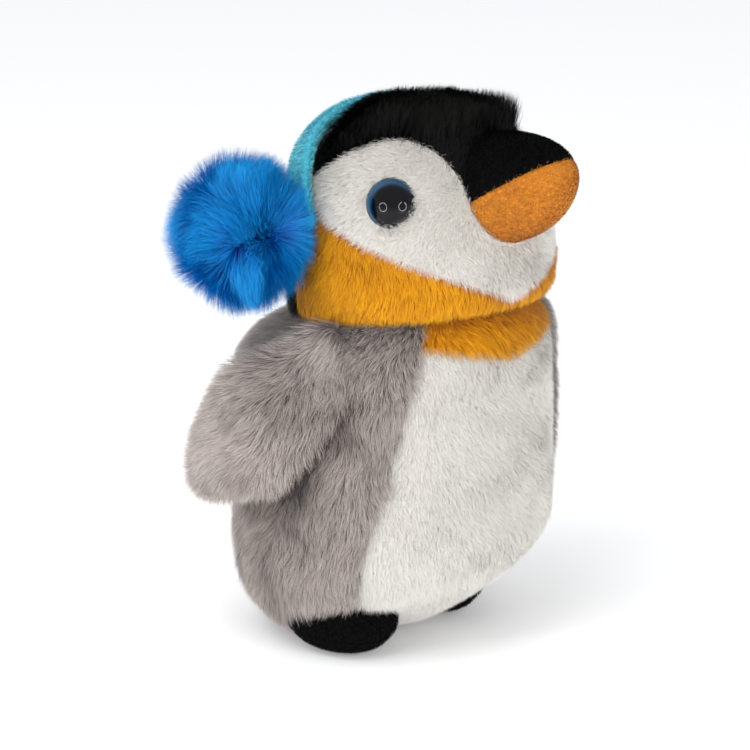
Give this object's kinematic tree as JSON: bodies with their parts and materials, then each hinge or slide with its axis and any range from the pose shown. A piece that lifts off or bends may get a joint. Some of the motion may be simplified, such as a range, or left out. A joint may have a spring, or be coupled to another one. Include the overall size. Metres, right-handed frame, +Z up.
{
  "type": "plush penguin",
  "caption": "Small stuffed toy penguin chick with a round sewn body, short wings and feet, a stuffed beak, domed eyes and fluffy ear muffs on a headband.",
  "frame": {"origin": "middle of the flat patch under the body, on the surface that the toy stands on", "axes": "+Z up, the face looks along -Y, +X towards the toy's own left side"},
  "size_m": [0.1132, 0.088, 0.1255],
  "materials": {
    "grey_plush": "long brushed pile",
    "white_plush": "short smooth pile",
    "orange_plush": "medium brushed pile",
    "black_plush": "medium fluffy pile",
    "black_velboa": "very short matt pile",
    "black_felt": "short napped felt",
    "ochre_felt": "short napped felt",
    "turquoise_pile": "short brushed pile",
    "pompom_fibre": "long shiny straight fibres",
    "tie_thread": "wound thread",
    "fibre_fill": "loose fibre",
    "eye_clear": "polished clear dome",
    "eye_print": "printed iris and pupil under the dome",
    "washer_plastic": "plain moulded"
  },
  "bodies": {
    "body": {"body_stuffing": "fibre_fill", "belly_panel": "white_plush", "chest_panel": "orange_plush", "back_panel_left": "grey_plush", "back_panel_right": "grey_plush", "base_panel": "grey_plush", "foot_upper_left": "black_velboa", "foot_upper_right": "black_velboa", "foot_sole_left": "black_velboa", "foot_sole_right": "black_velboa", "foot_stuffing_left": "fibre_fill", "foot_stuffing_right": "fibre_fill"},
    "head": {"head_stuffing": "fibre_fill", "crown_panel": "black_plush", "back_head_panel": "black_plush", "face_panel_left": "white_plush", "face_panel_right": "white_plush", "neck_band_left": "orange_plush", "neck_band_right": "orange_plush", "beak_upper": "black_felt", "beak_lower": "ochre_felt", "beak_stuffing": "fibre_fill", "eye_dome_left": "eye_clear", "eye_dome_right": "eye_clear", "eye_back_left": "eye_print", "eye_back_right": "eye_print", "eye_washer_left": "washer_plastic", "eye_washer_right": "washer_plastic", "headband": "turquoise_pile"},
    "wing_left": {"wing_outer_left": "grey_plush", "wing_lining_left": "grey_plush", "wing_stuffing_left": "fibre_fill"},
    "wing_right": {"wing_outer_right": "grey_plush", "wing_lining_right": "grey_plush", "wing_stuffing_right": "fibre_fill"},
    "pompom_left": {"pompom_left": "pompom_fibre", "pompom_tie_left": "tie_thread"},
    "pompom_right": {"pompom_right": "pompom_fibre", "pompom_tie_right": "tie_thread"}
  },
  "joints": [
    {"name": "head_turn", "type": "hinge", "parent": "body", "child": "head", "pos_m": [0, -0.008, 0.077], "axis": [0, 0, 1], "range_deg": [-20, 20], "stiffness_Nm_per_rad": 0.02},
    {"name": "wing_lift_left", "type": "hinge", "parent": "body", "child": "wing_left", "pos_m": [0.03745, -0.0116, 0.07249], "axis": [-0.2233, -0.7209, -0.6561], "range_deg": [0, 60], "stiffness_Nm_per_rad": 0.002},
    {"name": "wing_lift_right", "type": "hinge", "parent": "body", "child": "wing_right", "pos_m": [-0.03745, -0.0116, 0.07249], "axis": [-0.2233, 0.7209, 0.6561], "range_deg": [0, 60], "stiffness_Nm_per_rad": 0.002},
    {"name": "pompom_twist_left", "type": "hinge", "parent": "head", "child": "pompom_left", "pos_m": [0.04112, 0.00616, 0.09876], "axis": [0.9454, 0.3255, 0.0175], "range_deg": [-25, 25], "stiffness_Nm_per_rad": 0.0008},
    {"name": "pompom_twist_right", "type": "hinge", "parent": "head", "child": "pompom_right", "pos_m": [-0.04112, 0.00616, 0.09876], "axis": [-0.9454, 0.3255, 0.0175], "range_deg": [-25, 25], "stiffness_Nm_per_rad": 0.0008}
  ]
}
